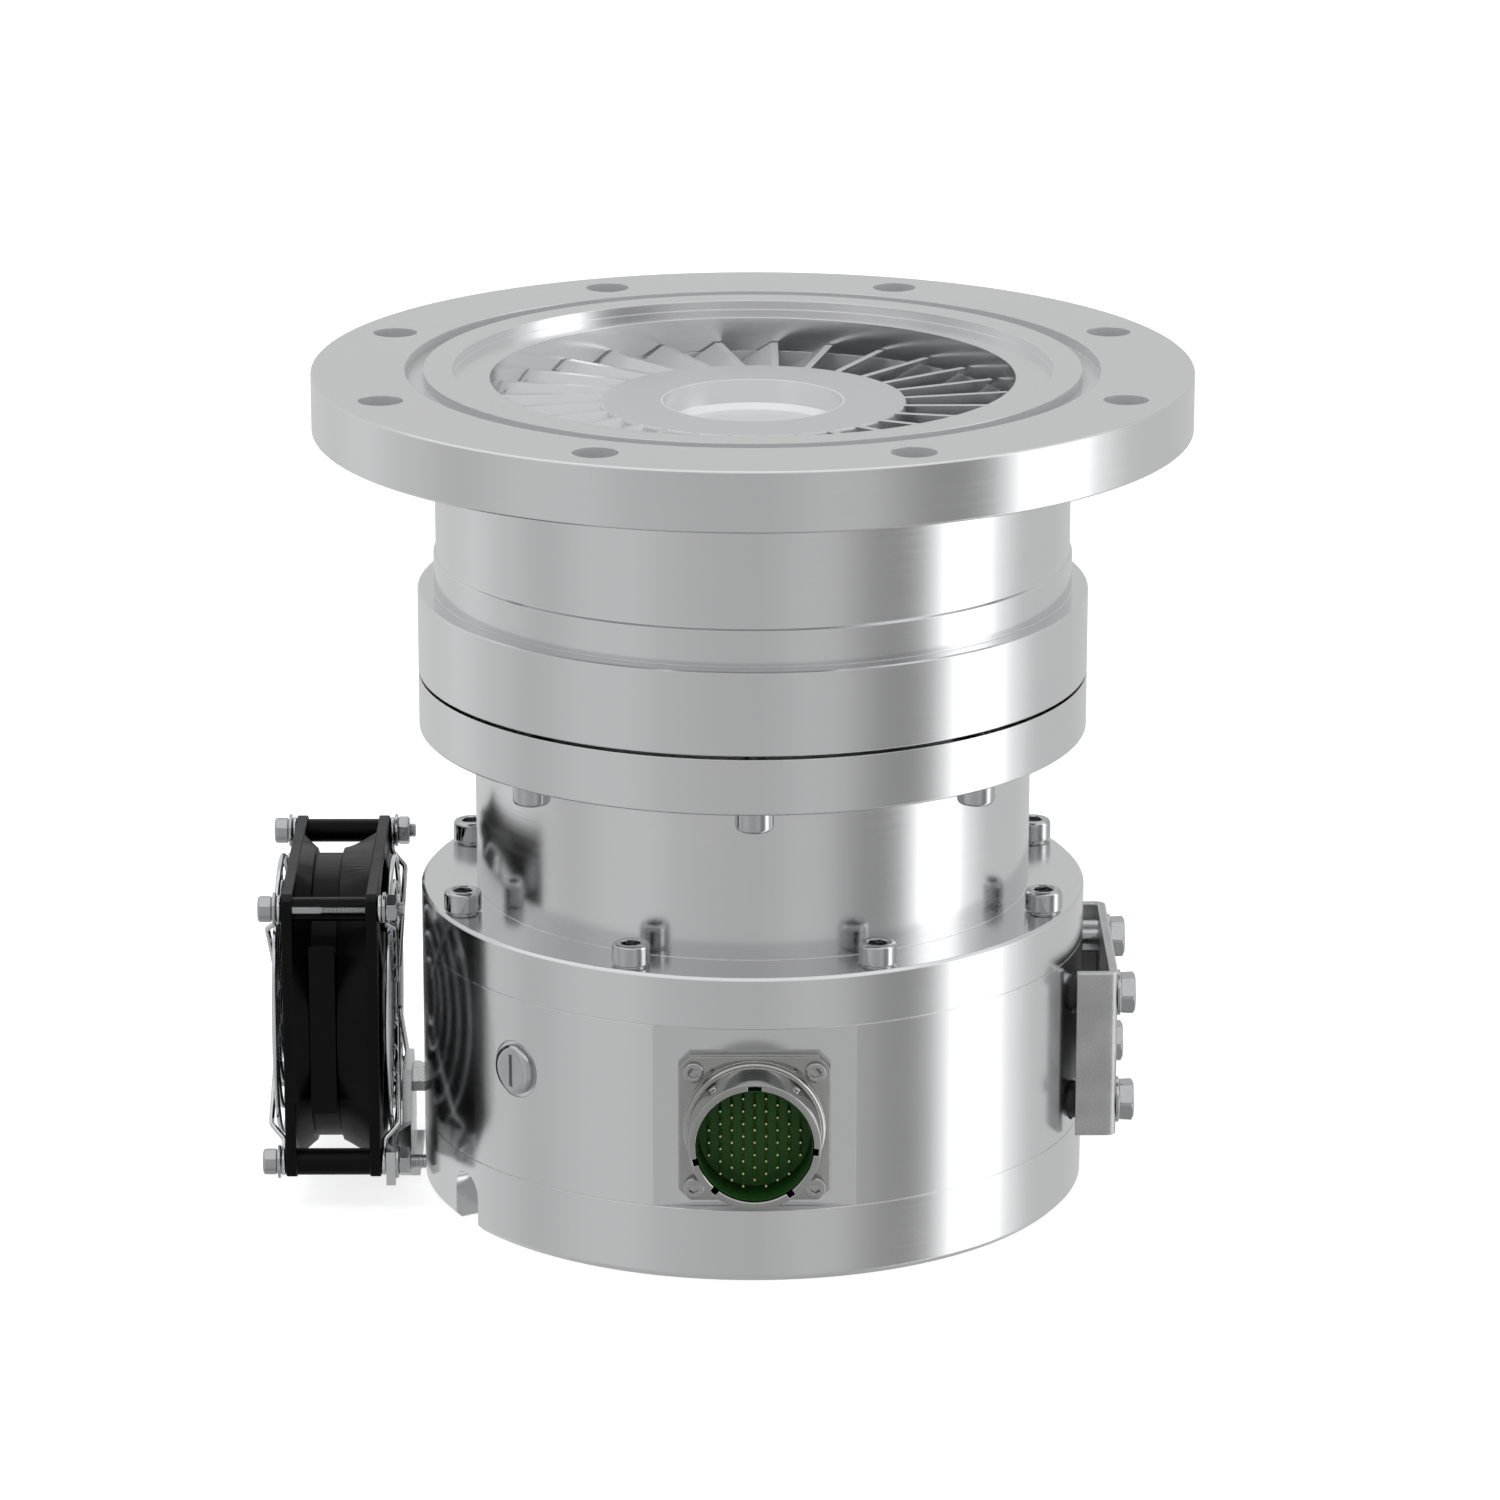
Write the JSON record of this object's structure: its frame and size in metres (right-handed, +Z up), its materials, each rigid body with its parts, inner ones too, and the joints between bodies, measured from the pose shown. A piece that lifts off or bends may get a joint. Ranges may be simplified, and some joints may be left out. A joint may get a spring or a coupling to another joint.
{
  "type": "turbomolecular pump",
  "caption": "Turbomolecular vacuum pump: bladed rotor under a bolted inlet flange, stepped round body, side fan with wire guards, keyed multi-pin connector, rear exhaust port.",
  "frame": {"origin": "centre of the pump's underside, on the rotor axis", "axes": "+Z up along the rotor axis towards the inlet, -Y towards the connector, -X towards the fan"},
  "size_m": [0.2497, 0.235, 0.226],
  "materials": {
    "housing": "fine turned, polished",
    "turbine": "machined",
    "steel": "ground",
    "seal": "moulded",
    "magnet": "laminated",
    "connector_nickel": "satin nickel plate",
    "connector_insert": "moulded",
    "contacts": "gold plate",
    "plated_screw": "bright plate",
    "bush": "turned",
    "sheet_metal": "blasted sheet",
    "fan_plastic": "moulded",
    "chrome_wire": "bright plate"
  },
  "bodies": {
    "pump": {"base_body": "housing", "base_screws": "steel", "base_seal": "seal", "bottom_cover": "housing", "casing_screws": "steel", "casing_seal": "seal", "column_screws": "steel", "connector_insert": "connector_insert", "connector_pins": "contacts", "connector_screws": "plated_screw", "connector_shell": "connector_nickel", "cover_screws": "steel", "drag_stator": "turbine", "exhaust_port": "steel", "fan_bolts": "plated_screw", "fan_bracket": "sheet_metal", "fan_frame": "fan_plastic", "fan_guard_inner": "chrome_wire", "fan_guard_outer": "chrome_wire", "fan_motor_stator": "magnet", "fan_nuts": "plated_screw", "fan_stud": "plated_screw", "fan_washers": "plated_screw", "inlet_casing": "housing", "lower_axial_magnet": "magnet", "lower_radial_magnet": "magnet", "lower_touchdown_bearing": "steel", "motor_stator": "magnet", "pump_housing": "housing", "purge_plug": "plated_screw", "side_bolts": "plated_screw", "side_bracket": "sheet_metal", "side_bushes": "bush", "side_spacers": "plated_screw", "side_washers": "plated_screw", "spacer_ring_1": "turbine", "spacer_ring_2": "turbine", "spacer_ring_3": "turbine", "spacer_ring_4": "turbine", "spacer_ring_5": "turbine", "spacer_ring_6": "turbine", "stator_column": "turbine", "stator_disc_1": "turbine", "stator_disc_2": "turbine", "stator_disc_3": "turbine", "stator_disc_4": "turbine", "stator_disc_5": "turbine", "upper_axial_magnet": "magnet", "upper_radial_magnet": "magnet", "upper_touchdown_bearing": "steel"},
    "rotor": {"turbine_rotor": "turbine", "drag_drum": "turbine", "rotor_shaft": "steel", "rotor_screws": "steel", "thrust_disc": "steel", "motor_magnet": "magnet", "lower_radial_sleeve": "magnet", "upper_radial_sleeve": "magnet"},
    "fan_wheel": {"fan_impeller": "fan_plastic", "fan_shaft": "steel"}
  },
  "joints": [
    {"name": "rotor_spin", "type": "hinge", "parent": "pump", "child": "rotor", "pos_m": [0, 0, 0.15], "axis": [0, 0, -1], "continuous": true},
    {"name": "fan_spin", "type": "hinge", "parent": "pump", "child": "fan_wheel", "pos_m": [-0.113, 0, 0.05], "axis": [1, 0, 0], "continuous": true}
  ]
}
